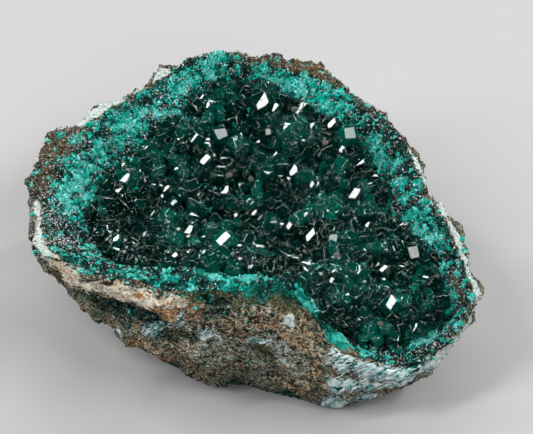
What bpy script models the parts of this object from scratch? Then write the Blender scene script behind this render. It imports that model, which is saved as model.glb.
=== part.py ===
"""A dioptase specimen: a broken piece of copper-stained rock with an open hollow in its upper side, and the
crust of green crystals that lines the hollow. It lies on its flat underside, with the hollow facing up and
a little to the front. +Z is up, +Y runs to the back, and the origin is on the ground under the middle.
"""

import math
import random

import bmesh
import bpy
from mathutils import Matrix, Vector, noise

MM = 0.001
TURN = 2 * math.pi
COLLECTION = "dioptase_specimen"

# Outlines of the rock in mm, counter-clockwise from the right. They all run round the middle of the hollow.
HOLLOW_MIDDLE = Vector((0, -1))
FLOOR_HEIGHT = 12.0
CREST = (  # x, y, z of the broken rim, where it stands highest
    (42, -4, 24.5), (36, 6.5, 26.5), (34.5, 14, 28), (30, 23.5, 29.5), (27.5, 27, 29.5), (23, 29, 30.5),
    (20, 34, 31.5), (15, 38.5, 33), (13, 41, 33.5), (0, 40.5, 33), (-10, 42.5, 34.5), (-15, 41, 34),
    (-28, 29.5, 33), (-38, 20, 32), (-47, 12, 31), (-49.5, 0, 29.5), (-49.5, -11, 28), (-47, -19, 28),
    (-41, -26, 30.5), (-38, -30, 31), (-31, -32, 30), (-20, -34, 29), (-8, -33.5, 28.5), (3, -33.5, 28),
    (12, -37, 21), (16, -41, 17), (20, -39.5, 15), (30, -42.5, 14), (35, -41.5, 14), (42, -34, 17),
    (48.5, -28, 20.5), (45, -18, 22),
)
LIP = (  # x, y, z where the fine-grained band inside the rim gives way to the large crystals
    (30, 2, 19), (28, 10, 20.5), (26.5, 17.5, 22.5), (23, 23.5, 26), (16.5, 27.5, 27), (8, 32.5, 28),
    (2, 36.5, 28.5), (-3.5, 38, 29), (-11, 35.5, 29), (-15, 29, 28.5), (-19, 24, 26.5), (-25, 16.5, 26),
    (-31, 10.5, 25), (-34.5, 5, 24), (-35.5, -3, 22.5), (-34.5, -11.5, 22), (-31.5, -21, 25.5),
    (-26, -24.5, 27.5), (-13.5, -24.5, 27.5), (5, -26, 27), (9.5, -27.5, 24.5), (12.5, -29, 21.5),
    (15.5, -31, 17.5), (19, -32.5, 13), (29.5, -35, 11.5), (38, -31, 13), (41.5, -25.5, 14), (41.5, -19, 16),
    (38.5, -10, 17), (33, -3.5, 17),
)
FOOT = (  # x, y of the flat underside's edge
    (35, -14), (34, 0), (29, 14), (20, 24), (5, 29), (-10, 29), (-22, 22), (-29, 9), (-30, -4), (-27, -15),
    (-21, -23), (-12, -28), (-2, -31), (8, -35), (18, -38.5), (25, -34), (31, -27),
)
SWELL = (  # direction in degrees, and how far the outer wall stands out between crest and foot
    (0, 2), (45, 4), (90, 4.5), (135, 4), (165, 2), (185, 0.5), (205, 0), (222, 2.5), (240, 6.5), (265, 7.5),
    (280, 6), (295, 2.5), (310, 0.5), (335, 1),
)

# The rock is one round mesh, closed at the hollow's floor and under the foot. Rings of points in each stretch:
SEGMENTS = 72
FLOOR_RINGS, BAND_RINGS, WALL_RINGS, BASE_RINGS = 5, 3, 12, 2
BOWL_CURVE = 1.8

# Broken relief of the rock, in mm: broad lumps, small chips, the layers it splits along, which rise to the
# right, and the recess under the pale ledge in front
LUMP_DEPTH, LUMP_SIZE = 2.2, 14.0
SOUND_RIM = 9.0  # where the rim is thinner than this, it takes less relief
CHIP_DEPTH, CHIP_SIZE = 1.3, 5.5
LAYER_DEPTH, LAYER_STEP, LAYER_RISE = 1.5, 7.0, 0.22
RECESS_DEPTH, RECESS_PLACE, RECESS_WIDTH = 3.0, 0.28, 0.10
RECESS_FROM, RECESS_TO = math.radians(200), math.radians(262)

# The crystal crust, in mm
GAP = 0.6
CRUST_THICKNESS, CRUST_EDGE = 2.2, 0.97
CRUST_SEGMENTS, CRUST_RINGS, CRUST_SINK = 32, 4, 1.0
CRYSTAL_PITCH, CRYSTAL_LIMIT = 5.3, 0.93
CRYSTAL_RADIUS = (2.5, 3.6)
EDGE_CRYSTAL_SHARE = 0.8
CRYSTAL_LEAN = math.radians(28)
CRYSTAL_LENGTH, CRYSTAL_TIP, ROOT_RADIUS = 3.0, 1.25, 0.8  # in crystal radii
TIP_SLOPE = math.radians(51)
SEED = 15


def polar(outline):
    """The outline's points as rows of (direction, reach, height) round the hollow's middle."""
    rows = []
    for x, y, *height in outline:
        across = Vector((x, y)) - HOLLOW_MIDDLE
        rows.append((math.atan2(across.y, across.x) % TURN, across.length, *height))
    return sorted(rows)


def read(rows, direction):
    """The values of the rows at one direction, between the nearest two."""
    direction %= TURN
    following = next((i for i, row in enumerate(rows) if row[0] > direction), 0)
    low, high = rows[following - 1], rows[following]
    share = ((direction - low[0]) % TURN) / ((high[0] - low[0]) % TURN)
    return [a + (b - a) * share for a, b in zip(low[1:], high[1:])]


CREST_ROWS, LIP_ROWS, FOOT_ROWS = polar(CREST), polar(LIP), polar(FOOT)
SWELL_ROWS = [(math.radians(degrees), depth) for degrees, depth in SWELL]


def at(direction, reach, height):
    """The point, in mm, at a reach from the hollow's middle."""
    return Vector((
        HOLLOW_MIDDLE.x + reach * math.cos(direction),
        HOLLOW_MIDDLE.y + reach * math.sin(direction),
        height,
    ))


def bowl(direction, share):
    """A point of the bare hollow, from its floor at share 0 to its lip at 1."""
    reach, height = read(LIP_ROWS, direction)
    return at(direction, reach * share, FLOOR_HEIGHT + (height - FLOOR_HEIGHT) * share**BOWL_CURVE)


def band(direction, share):
    """A point of the band between the lip, at share 0, and the crest, at 1. It bows upwards."""
    inner, outer = read(LIP_ROWS, direction), read(CREST_ROWS, direction)
    height = inner[1] + (outer[1] - inner[1]) * math.sin(share * math.pi / 2)
    return at(direction, inner[0] + (outer[0] - inner[0]) * share, height)


def wall(direction, share):
    """A point of the outer wall, from the crest at share 0 to the foot at 1."""
    reach, height = read(CREST_ROWS, direction)
    foot = read(FOOT_ROWS, direction)[0]
    swell = read(SWELL_ROWS, direction)[0] * math.sin(math.pi * share**0.85)
    sweep = max(0.0, math.sin(math.pi * (direction - RECESS_FROM) / (RECESS_TO - RECESS_FROM)))
    if not RECESS_FROM < direction < RECESS_TO:
        sweep = 0.0
    recess = RECESS_DEPTH * sweep * math.exp(-(((share - RECESS_PLACE) / RECESS_WIDTH) ** 2))
    return at(direction, reach + (foot - reach) * share**1.4 + swell - recess, height * (1 - share))


def rock_point(direction, ring):
    """The rock's point on one of its rings, before the broken relief, and how much relief it takes."""
    if ring <= FLOOR_RINGS:
        return bowl(direction, ring / FLOOR_RINGS), 0.0
    ring -= FLOOR_RINGS
    strength = min(1.0, (read(CREST_ROWS, direction)[0] - read(LIP_ROWS, direction)[0]) / SOUND_RIM)
    if ring <= BAND_RINGS:
        share = ring / BAND_RINGS
        return band(direction, share), share * strength
    ring -= BAND_RINGS
    if ring < WALL_RINGS:
        share = ring / WALL_RINGS
        return wall(direction, share), strength + (1 - strength) * share
    if ring == WALL_RINGS:
        return wall(direction, 1.0), 0.0
    share = (ring - WALL_RINGS) / BASE_RINGS
    return at(direction, read(FOOT_ROWS, direction)[0] * (1 - share), 0.0), 0.0


def relief(point):
    """How far, in mm, the broken surface stands out or in at this point."""
    lumps = noise.fractal(point / LUMP_SIZE, 0.9, 2.1, 3)
    chips = noise.cell(point / CHIP_SIZE) - 0.5
    layer = ((point.z - LAYER_RISE * point.x) / LAYER_STEP + 0.5 * lumps) % 1 - 0.5
    return LUMP_DEPTH * lumps + CHIP_DEPTH * chips + LAYER_DEPTH * layer


def shaped_sphere(segments, rings, place):
    """A closed round mesh whose points are put where place(direction, ring) says, ring 0 being the top pole."""
    bm = bmesh.new()
    bmesh.ops.create_uvsphere(bm, u_segments=segments, v_segments=rings, radius=1)
    for vertex in bm.verts:
        ring = round(math.acos(max(-1.0, min(1.0, vertex.co.z))) / math.pi * rings)
        direction = math.atan2(vertex.co.y, vertex.co.x) % TURN
        vertex.co = place(direction, ring) * MM
    bmesh.ops.recalc_face_normals(bm, faces=bm.faces)
    return bm


def mesh_from(bm, name):
    mesh = bpy.data.meshes.new(name)
    bm.to_mesh(mesh)
    bm.free()
    return mesh


def place_object(mesh, name, collection, origin):
    """An object that shows the mesh and hangs from the empty at the specimen's origin."""
    made = bpy.data.objects.new(name, mesh)
    made.parent = origin
    collection.objects.link(made)
    return made


def origin_for(mesh, collection):
    """An empty that brings the middle of the mesh, in plan, over the world's origin."""
    across = [vertex.co.x for vertex in mesh.vertices]
    deep = [vertex.co.y for vertex in mesh.vertices]
    origin = bpy.data.objects.new("specimen_origin", None)
    origin.location = (-(min(across) + max(across)) / 2, -(min(deep) + max(deep)) / 2, 0)
    collection.objects.link(origin)
    return origin


def rock_mesh():
    """The rock: floor, band, outer wall and flat underside in one closed mesh."""
    middle = Vector((HOLLOW_MIDDLE.x, HOLLOW_MIDDLE.y, FLOOR_HEIGHT))

    def place(direction, ring):
        point, share = rock_point(direction, ring)
        if share:
            outward = (point - middle).normalized()
            point = point + outward * relief(point) * share
            point.z = max(point.z, 0.4)
        return point

    return shaped_sphere(SEGMENTS, FLOOR_RINGS + BAND_RINGS + WALL_RINGS + BASE_RINGS, place)


def crust_mesh():
    """The sheet that the crystals grow from: a closed shell that reaches a little into the rock below it."""

    def place(direction, ring):
        if ring <= CRUST_RINGS:
            share = ring / CRUST_RINGS
            lift = CRUST_THICKNESS * (1 - 0.4 * share**4)
        else:
            share = 1 - (ring - CRUST_RINGS - 1) / CRUST_RINGS
            lift = -CRUST_SINK
        return bowl(direction, share * CRUST_EDGE) + Vector((0, 0, lift))

    return shaped_sphere(CRUST_SEGMENTS, 2 * CRUST_RINGS + 1, place)


def crystal_mesh():
    """One crystal of unit radius: a six-sided prism with the three sloping faces that dioptase ends in."""
    bm = bmesh.new()
    bmesh.ops.create_cone(bm, cap_ends=True, segments=6, radius1=ROOT_RADIUS, radius2=1, depth=CRYSTAL_LENGTH)
    tip = Vector((0, 0, CRYSTAL_TIP))
    for side in range(3):
        turn = side * TURN / 3 + math.pi / 2
        slope = Vector((
            math.sin(TIP_SLOPE) * math.cos(turn),
            math.sin(TIP_SLOPE) * math.sin(turn),
            math.cos(TIP_SLOPE),
        ))
        everything = bm.verts[:] + bm.edges[:] + bm.faces[:]
        cut = bmesh.ops.bisect_plane(bm, geom=everything, plane_co=tip, plane_no=slope, clear_outer=True)
        rim = [edge for edge in cut["geom_cut"] if isinstance(edge, bmesh.types.BMEdge)]
        bmesh.ops.contextual_create(bm, geom=rim)
    bmesh.ops.recalc_face_normals(bm, faces=bm.faces)
    return bm


def bowl_normal(direction, share):
    """The way the hollow's surface faces, from three points close together."""
    here = bowl(direction, share)
    outward = bowl(direction, share + 0.02) - here
    along = bowl(direction + 0.02, share) - here
    return outward.cross(along).normalized()


def crystal_places():
    """Where each crystal stands: a jittered triangular grid over the hollow, as (point, normal, share)."""
    chance = random.Random(SEED)
    reach = 52
    steps = int(reach / CRYSTAL_PITCH)
    for row in range(-steps - 2, steps + 3):
        for column in range(-steps - 2, steps + 3):
            x = (column + 0.5 * (row % 2) + chance.uniform(-0.3, 0.3)) * CRYSTAL_PITCH
            y = (row * math.sqrt(3) / 2 + chance.uniform(-0.3, 0.3)) * CRYSTAL_PITCH
            direction = math.atan2(y, x)
            share = math.hypot(x, y) / read(LIP_ROWS, direction)[0]
            spin, lean, size = chance.uniform(0, TURN), chance.uniform(0, 1), chance.uniform(0, 1)
            lean_way = chance.uniform(0, TURN)
            if 0.03 < share < CRYSTAL_LIMIT:
                yield direction, share, spin, lean, lean_way, size


def add_crystals(collection, origin):
    """The crystals as objects that share one mesh, each turned its own way, for the crust to be joined with."""
    pattern = mesh_from(crystal_mesh(), "crystal")
    for number, (direction, share, spin, lean, lean_way, size) in enumerate(crystal_places()):
        made = place_object(pattern, f"crystal_{number:03d}", collection, origin)
        radius = CRYSTAL_RADIUS[0] + (CRYSTAL_RADIUS[1] - CRYSTAL_RADIUS[0]) * size
        if share > EDGE_CRYSTAL_SHARE:
            radius *= 0.75
        point = bowl(direction, share) + Vector((0, 0, CRUST_THICKNESS))
        upright = bowl_normal(direction, share).to_track_quat("Z", "Y").to_matrix().to_4x4()
        tilt = Matrix.Rotation(CRYSTAL_LEAN * lean, 4, Vector((math.cos(lean_way), math.sin(lean_way), 0)))
        made.matrix_basis = (
            Matrix.Translation(point * MM)
            @ upright
            @ tilt
            @ Matrix.Rotation(spin, 4, "Z")
            @ Matrix.Diagonal((radius * MM, radius * MM, radius * MM, 1))
        )


def join_crust(crust, crystals, clearance):
    """Joins the crystals to their sheet, and trims both so that they lie on the rock with a small gap."""
    union = crust.modifiers.new("crystals", "BOOLEAN")
    union.operation = "UNION"
    union.solver = "MANIFOLD"
    union.operand_type = "COLLECTION"
    union.collection = crystals
    trim = crust.modifiers.new("bed", "BOOLEAN")
    trim.operation = "DIFFERENCE"
    trim.solver = "MANIFOLD"
    trim.object = clearance


def set_material(made, name, colour, roughness):
    material = bpy.data.materials.new(name)
    material.use_nodes = True
    shader = material.node_tree.nodes["Principled BSDF"]
    shader.inputs["Base Color"].default_value = (*colour, 1)
    shader.inputs["Roughness"].default_value = roughness
    shader.inputs["Metallic"].default_value = 0
    made.data.materials.clear()
    made.data.materials.append(material)


def helper_collection(name):
    made = bpy.data.collections.new(name)
    bpy.context.scene.collection.children.link(made)
    return made


def hide_helpers(collection):
    for helper in collection.objects:
        helper.hide_render = True
        helper.display_type = "WIRE"


def main():
    for old in list(bpy.data.objects):
        bpy.data.objects.remove(old)
    specimen = helper_collection(COLLECTION)
    crystals = helper_collection("crystals")
    cutters = helper_collection("cutters")

    rock_shape = mesh_from(rock_mesh(), "matrix_rock")
    origin = origin_for(rock_shape, specimen)
    rock = place_object(rock_shape, "matrix_rock", specimen, origin)
    set_material(rock, "copper_stained_rock", (0.42, 0.33, 0.22), 0.85)

    clearance = place_object(rock_shape, "rock_clearance", cutters, origin)
    clearance.location.z = GAP * MM

    add_crystals(crystals, origin)
    crust = place_object(mesh_from(crust_mesh(), "dioptase_crust"), "dioptase_crust", specimen, origin)
    join_crust(crust, crystals, clearance)
    set_material(crust, "dioptase", (0.0, 0.16, 0.10), 0.06)

    hide_helpers(crystals)
    hide_helpers(cutters)


main()
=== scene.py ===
"""A dioptase specimen: a hollow rock lined with dark green crystals, on a pale studio floor.

Everything is in metres. +Z is up, +Y runs to the back, and the rock lies on z = 0.
"""

import math

import bmesh
import bpy
import numpy as np
from mathutils import Matrix, Vector, noise
from mathutils.bvhtree import BVHTree


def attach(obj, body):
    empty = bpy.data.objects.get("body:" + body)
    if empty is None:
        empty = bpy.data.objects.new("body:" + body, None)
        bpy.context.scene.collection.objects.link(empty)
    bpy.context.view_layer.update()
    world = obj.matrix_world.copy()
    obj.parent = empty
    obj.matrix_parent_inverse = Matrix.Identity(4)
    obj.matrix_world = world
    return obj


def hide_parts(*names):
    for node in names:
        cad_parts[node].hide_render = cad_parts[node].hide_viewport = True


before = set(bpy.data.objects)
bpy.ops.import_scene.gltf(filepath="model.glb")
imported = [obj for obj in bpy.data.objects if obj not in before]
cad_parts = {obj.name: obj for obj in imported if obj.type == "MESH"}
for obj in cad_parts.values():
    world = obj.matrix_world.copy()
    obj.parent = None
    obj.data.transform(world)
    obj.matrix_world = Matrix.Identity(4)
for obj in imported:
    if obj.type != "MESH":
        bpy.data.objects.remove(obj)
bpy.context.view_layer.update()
scene = bpy.context.scene
MM = 0.001
NOISE_SEED = 7
noise.seed_set(NOISE_SEED)

# The view
# The piece is seen from in front and 40 degrees above, through a long lens.
VIEW_MIDDLE = Vector((3.3, -6.3, 25.5)) * MM
VIEW_HEIGHT = math.radians(40)
VIEW_DISTANCE = 0.6
VIEW_LENS = 190
to_camera = Vector((0, -math.cos(VIEW_HEIGHT), math.sin(VIEW_HEIGHT)))
bpy.ops.object.camera_add(
    location=VIEW_MIDDLE + VIEW_DISTANCE * to_camera,
    rotation=(math.pi / 2 - VIEW_HEIGHT, 0, 0),
)
camera = bpy.context.object
camera.data.lens = VIEW_LENS
scene.camera = camera
scene.view_settings.view_transform = "Standard"

# The studio
# Five bright strip lights draw a thin glint along every crystal edge that turns past them, a dimmer
# square one in front fills the shadows, and the floor is a plain pale sheet.
LIGHTS = (  # name, direction from the piece, distance in m, width and height in m, radiance
    ("left_strip", (-0.66, -0.30, 0.69), 1.1, 0.17, 0.85, 16),
    ("right_strip", (0.64, -0.22, 0.73), 1.1, 0.85, 0.17, 14),
    ("back_strip", (0.05, 0.60, 0.80), 1.1, 0.95, 0.13, 12),
    ("front_square", (0.22, -0.80, 0.56), 1.3, 0.42, 0.42, 6.0),
    ("left_rear_strip", (-0.74, 0.50, 0.44), 1.1, 0.10, 0.80, 16),
    ("right_rear_strip", (0.70, 0.56, 0.44), 1.1, 0.10, 0.80, 14),
)
light_frames = []
for name, way, far, width, height, radiance in LIGHTS:
    way = Vector(way).normalized()
    turn = way.to_track_quat("Z", "Y")
    spot = VIEW_MIDDLE + way * far
    bpy.ops.object.light_add(type="AREA", location=spot, rotation=turn.to_euler())
    light = bpy.context.object
    light.name = name
    light.data.shape = "RECTANGLE"
    light.data.size = width
    light.data.size_y = height
    light.data.energy = radiance * math.pi * width * height
    light_frames.append((np.array(spot), np.array(turn.to_matrix()), width / 2, height / 2))

world = bpy.data.worlds.new("dim_room")
world.use_nodes = True
room_light = world.node_tree.nodes["Background"]
room_light.inputs["Color"].default_value = (0.80, 0.86, 0.90, 1)
room_light.inputs["Strength"].default_value = 0.02
scene.world = world

bpy.ops.mesh.primitive_plane_add(size=6, location=(0, 0, -0.0002))
floor = bpy.context.object
floor.name = "floor"
floor_paper = bpy.data.materials.new("pale_paper")
floor_paper.use_nodes = True
paper_shader = floor_paper.node_tree.nodes["Principled BSDF"]
paper_shader.inputs["Base Color"].default_value = (0.50, 0.50, 0.50, 1)
paper_shader.inputs["Roughness"].default_value = 0.9
floor.data.materials.append(floor_paper)

# The host rock
# One broken lump of altered rock. Its outside is a fine mix of tan, rust and grey grains with cream
# and bluish-white layers, and the inside of the rim carries a turquoise coat. It is the solid itself
# with its skin split finer. Sizes are in mm.
ROCK_GRID = 0.55 * MM
LUMP_SIZE, CRUMB_SIZE, GRIT_SIZE, SHEET_SIZE = 7.0, 2.4, 0.9, 4.5
LUMP_HEIGHT, CRUMB_HEIGHT, GRIT_HEIGHT, SHEET_HEIGHT = 0.6, 0.65, 0.3, 0.55
CRACK_WIDTH, CRACK_DEPTH, CLEFT_DEPTH = 0.07, 0.8, 2.1
SHEET_STRETCH = 2.2
INNER_COAT, FRINGE_COAT = 0.62, 0.45
LAYER_WAY = (0.88, 0.26, 0.40)
LAYER_STRETCH = 0.72
HOLLOW_MIDDLE = np.array((0.9, -1.3))

# The patches below stray from their marks by up to WANDER, in lumps of WANDER_SIZE. The ones in
# SHARP_PLACES stray less.
WANDER_SIZE, WANDER, SHARP_WANDER = 3.0, 1.6, 0.5
SHARP_PLACES = ("pale", "cleft")
TURQUOISE_PLACES = (  # the reach of each of the coat's brightest patches, and x, y, z along its middle
    (3.9, (-39.5, -1, 26.5), (-37.5, 5, 27), (-36, 8, 27.5)),
    (2.6, (-33, 12.5, 28.5), (-29, 16, 29)),
    (3.2, (-29, 19, 29.5), (-21, 25, 29), (-17.5, 24, 28)),
    (3.2, (-17, 31, 31), (-12.5, 35, 31.5), (-8, 38.5, 32)), (1.7, (-11.5, 27, 28)),
    (2, (2, 37, 31), (6, 35.5, 30)), (2.8, (9, 34, 29.5), (15, 31, 29), (20.5, 27, 28.5)),
    (2.6, (27.5, 18.5, 24), (31.5, 8.5, 23.5)), (3.4, (34, -1.5, 19.5), (37.5, -5.5, 20)),
    (1.8, (40.5, -13.5, 16.5), (42.5, -21.5, 15.5)), (1.8, (38.5, -30, 13), (33, -34.5, 10)),
    (2.8, (-8.5, -26.5, 28), (0, -28, 27.8)), (2.4, (10.5, -28.5, 24), (13.5, -30.5, 20)),
    (2.4, (17.5, -34, 17), (20, -35, 15)),
)
TEAL_PLACES = (
    (4.2, (-20, -29, 28), (-10.5, -29.5, 27.8), (0, -29.5, 27.5), (5, -29, 27), (10, -28.5, 24),
     (14, -31, 19.5)),
    (3.4, (14, -31, 19.5), (17.5, -36, 17), (19.5, -37, 15)),
    (3.4, (-42, -22, 28.5), (-34, -25, 28.5), (-27, -28, 28)),
)
BROWN_PLACES = (
    (4.0, (-45, 0.5, 29), (-44.5, 6, 29.5), (-42.5, 11, 30.5), (-38.5, 15.5, 31)),
    (2.2, (-2.5, 41, 33), (2, 40, 33), (11, 38.5, 32.5), (18.5, 34, 31.5), (26, 27, 29.5)),
    (2, (42.5, -17, 19), (44.5, -23, 17)),
)
RUST_PLACES = (
    (2.6, (-21, -35, 25), (-16.5, -36, 25.5), (-12, -36, 25)),
    (1.7, (2.5, -38.5, 25), (7, -39.3, 22), (11, -40, 19)), (2.4, (10, 39, 33), (17, 35.5, 32)),
    (1.4, (48.5, -27, 20)), (2.2, (-24, -33, 13), (-17, -36, 9)),
    (5, (-36, 24, 20), (-30, 32, 14)), (4, (30, 28, 20), (35, 20, 14)),
    (4, (-2, 40, 12), (8, 40, 8)),
)
SAND_PLACES = (
    (6.5, (9, -34, 24), (13, -40, 17), (14, -41.5, 12), (8, -41, 7)),
    (4, (-20, -36, 14), (-12, -38, 16)), (2.6, (22, -42.5, 11), (30, -42, 9)),
    (8, (-44, 4, 18), (-42, -8, 12)), (8, (14, 38, 18), (24, 32, 10)),
    (7, (44, -14, 8), (40, 2, 10)),
)
OLIVE_PLACES = (
    (2.8, (-11, -33, 27.8), (-5, -33.5, 27.3), (0, -33, 27.3), (5, -33.5, 26.5), (10, -32.5, 23.5)),
    (2.2, (-20, 33, 33), (-14, 37, 33.5)), (2.0, (1.5, -39.8, 18.3), (4, -40.4, 17)),
)
GREY_PLACES = (
    (6, (-12, -38, 18), (-4, -39.5, 15)), (5, (5, -40.3, 20), (10, -40.8, 15)),
    (5, (-5, -41, 8), (5, -41, 6)),
)
CREAM_PLACES = (
    (2.6, (-42, -24, 28.5), (-36.5, -29, 27.8)), (2.8, (-36, -29.3, 27.5), (-31, -32, 27.3)),
    (3.1, (-31, -32, 27.3), (-22.5, -34, 26)), (2.6, (-22.5, -34, 26), (-14.5, -34, 26.5)),
    (1.8, (41.5, -3, 24.5)),
)
PALE_PLACES = (
    (1.5, (-37.5, 18.7, 31.6), (-33.5, 22, 32), (-25.5, 30, 33), (-19, 35, 33.3)),
    (2.3, (8.2, -36.9, 23.3)), (1.2, (-45.5, -5, 28), (-45, -10, 28), (-44.8, -16.3, 27.5)),
    (1.9, (-44.8, -16.3, 27.5), (-42, -23.4, 29)),
    (0.8, (35, 13.8, 27.7), (38, 4.1, 25.8), (40.8, -2.5, 24.3), (43.8, -9.3, 23),
     (45.6, -17.5, 21.6), (48, -26.9, 20)),
    (1.7, (48, -26.9, 19), (45.2, -31, 15.4), (40.8, -36.4, 14.2), (37.5, -39.4, 12.8)),
)
COLD_PLACES = (
    (2, (-22, -33, 17.5), (-19, -34, 19), (-13.5, -36.8, 23.5)),
    (1.4, (-10, -38, 21), (-6, -39, 20)),
    (3.2, (18, -40.5, 16), (22.5, -41.8, 15), (27, -42.5, 14), (31, -43, 13.5), (37, -39.5, 12),
     (42, -33, 12)),
    (2.6, (17.5, -42, 10), (24, -42.5, 10.5), (33, -41, 9)), (4, (18, -39, 2), (24, -40, 6)),
    (1.2, (1, -39.6, 20.5), (4, -40.2, 19.5), (8, -40.5, 16)),
    (1.6, (-28, -29.5, 14), (-24, -33, 11)), (5, (-18, 40, 22), (-8, 42, 16), (-4, 41, 20)),
    (5, (41, 8, 20), (44, -4, 16)), (4.5, (-46, -8, 20), (-44, -14, 14)),
    (4, (-42, 14, 16), (-38, 20, 12)), (4, (22, 34, 22), (27, 28, 20)),
)
# The clefts are cut into the rock, and their colour darkens them further as painted shade.
CLEFT_PLACES = (
    (3.8, (-37, -22, 21.5), (-34.7, -25, 19.8), (-31.5, -27.5, 18.8), (-28, -30, 20),
     (-25, -30.6, 21.2)),
    (2.6, (-25, -30.6, 21.2), (-21.5, -32.5, 20.5), (-18, -34.6, 21)),
    (1.6, (-18.7, -35.6, 18.4), (-12, -38, 19.5)),
    (1.3, (-10, -33.3, 26.9), (-7.2, -34.2, 26.2), (-3.3, -33.6, 26.8)),
    (1.1, (-9, -36, 24.2), (-5, -36, 25)), (1.1, (0.5, -38.2, 22), (3.8, -37.8, 22.8)),
    (1.0, (-30, -33, 25), (-24, -35, 23.5), (-19, -36, 23)),
)
PLACES = {
    "bright": TURQUOISE_PLACES, "teal": TEAL_PLACES, "brown": BROWN_PLACES, "rust": RUST_PLACES,
    "sand": SAND_PLACES, "olive": OLIVE_PLACES, "grey": GREY_PLACES, "cream": CREAM_PLACES,
    "pale": PALE_PLACES, "cold": COLD_PLACES, "cleft": CLEFT_PLACES,
}


def soft_step(low, high, values):
    """0 up to low and 1 from high on, with a smooth rise between. Low may be the larger one."""
    share = np.clip((values - low) / (high - low), 0, 1)
    return share * share * (3 - 2 * share)


def close_to(points, places):
    """1 along the middle of any of the places, falling off softly towards its reach."""
    best = np.zeros(len(points))
    for reach, *marks in places:
        marks = np.array(marks, float)
        for start, end in zip(marks, marks[1:] if len(marks) > 1 else marks):
            along = end - start
            share = np.clip((points - start) @ along / max(along @ along, 1e-9), 0, 1)
            far = np.linalg.norm(points - start - np.outer(share, along), axis=1) / reach
            best = np.maximum(best, np.exp(-1.4 * far**2))
    return best


def grain_of(points, size, depth=4, rough=0.9):
    """Fractal noise at each point, for lumps of this size."""
    return np.array([noise.fractal(Vector(point), rough, 2.1, depth) for point in points / size])


def numbers(things, field, width):
    """A field of every vertex or face, as rows of this width."""
    values = np.empty(len(things) * width, np.float32)
    things.foreach_get(field, values)
    return values.reshape(-1, width) if width > 1 else values


def copy_of_node(name, new_name, grid):
    """A copy of a solid with its doubles merged and its skin rebuilt from even faces."""
    made = bpy.data.objects.new(new_name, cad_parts[name].data.copy())
    scene.collection.objects.link(made)
    bpy.ops.object.select_all(action="DESELECT")
    made.select_set(True)
    bpy.context.view_layer.objects.active = made
    bpy.ops.object.mode_set(mode="EDIT")
    bpy.ops.mesh.select_all(action="SELECT")
    bpy.ops.mesh.remove_doubles(threshold=1e-6)
    bpy.ops.object.mode_set(mode="OBJECT")
    even = made.modifiers.new("even faces", "REMESH")
    even.mode = "VOXEL"
    even.voxel_size = grid
    bpy.ops.object.modifier_apply(modifier=even.name)
    made.data.materials.clear()
    return made


def round_the_hollow(points):
    """Direction from the hollow's middle, and distance from it in plan."""
    across = points[:, :2] - HOLLOW_MIDDLE
    direction = np.arctan2(across[:, 1], across[:, 0]) % (2 * math.pi)
    return direction, np.hypot(across[:, 0], across[:, 1])


def edge_all_round(points, rank, count=60):
    """The point that ranks highest in each direction, as direction, distance and height, smoothed."""
    direction, distance = round_the_hollow(points)
    slot = (direction / (2 * math.pi) * count).astype(int) % count
    rows = []
    for number in range(count):
        inside = np.flatnonzero(slot == number)
        best = inside[np.argmax(rank(points[inside], distance[inside]))]
        rows.append(((number + 0.5) * 2 * math.pi / count, distance[best], points[best, 2]))
    rows = np.array(rows)
    for column in (1, 2):
        values = rows[:, column]
        rows[:, column] = (np.roll(values, 1) + 2 * values + np.roll(values, -1)) / 4
    return rows


def read_edge(rows, column, direction):
    """The edge's distance or height, as the column says, in each of these directions."""
    return np.interp(direction, rows[:, 0], rows[:, column], period=2 * math.pi)


node_points = {
    name: numbers(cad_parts[name].data.vertices, "co", 3).astype(float) / MM
    for name in ("matrix_rock", "dioptase_crust")
}
crest_line = edge_all_round(node_points["matrix_rock"], lambda points, distance: points[:, 2])
crust_line = edge_all_round(node_points["dioptase_crust"], lambda points, distance: distance)


def zones_of(points, normals):
    """How far each point belongs to the outer wall, to the hollow and to each kind of place."""
    direction, distance = round_the_hollow(points)
    astray = np.array([noise.noise_vector(Vector(point)) for point in points / WANDER_SIZE])
    zones = {}
    for name, places in PLACES.items():
        wander = SHARP_WANDER if name in SHARP_PLACES else WANDER
        zones[name] = close_to(points + wander * astray, places)
    zones["drop"] = read_edge(crest_line, 2, direction) - points[:, 2]
    outward = normals[:, 0] * np.cos(direction) + normals[:, 1] * np.sin(direction)
    beyond = soft_step(0.2, 1.2, distance - read_edge(crest_line, 1, direction))
    turned_down = soft_step(0, -0.4, normals[:, 2])
    zones["outside"] = np.maximum(np.maximum(soft_step(0.05, 0.45, outward), beyond), turned_down)
    within = soft_step(0.5, -1.5, distance - read_edge(crust_line, 1, direction))
    zones["inside"] = (1 - zones["outside"]) * within
    zones["cleft"] *= zones["outside"]
    return zones


rock = copy_of_node("matrix_rock", "host_rock", ROCK_GRID)
points = numbers(rock.data.vertices, "co", 3).astype(float) / MM
normals = numbers(rock.data.vertex_normals, "vector", 3).astype(float)
zones = zones_of(points, normals)
outside = zones["outside"]
lumps = grain_of(points, LUMP_SIZE)
crumbs = grain_of(points, CRUMB_SIZE)
grit = grain_of(points, GRIT_SIZE, 2)
along_rim = points * (1, 1, 0) + np.outer(SHEET_STRETCH * zones["drop"], (0, 0, 1))
sheets = grain_of(along_rim, SHEET_SIZE, 3)
cracks = np.exp(-(sheets / CRACK_WIDTH) ** 2)

fringe = soft_step(4.0, 0.5, zones["drop"] + 2.5 * lumps)
zones["coat"] = np.maximum((1 - outside) * INNER_COAT, outside * fringe * FRINGE_COAT)
zones["coat"] += 0.4 * zones["bright"] + 0.5 * zones["teal"] - 0.4 * zones["brown"]
zones["coat"] -= (
    0.8 * zones["cream"] + 0.5 * zones["cold"] * outside + 0.5 * zones["rust"] + 0.8 * zones["pale"]
)
zones["foot"] = outside * soft_step(3.4, 0.3, points[:, 2] + 4 * lumps)

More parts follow.
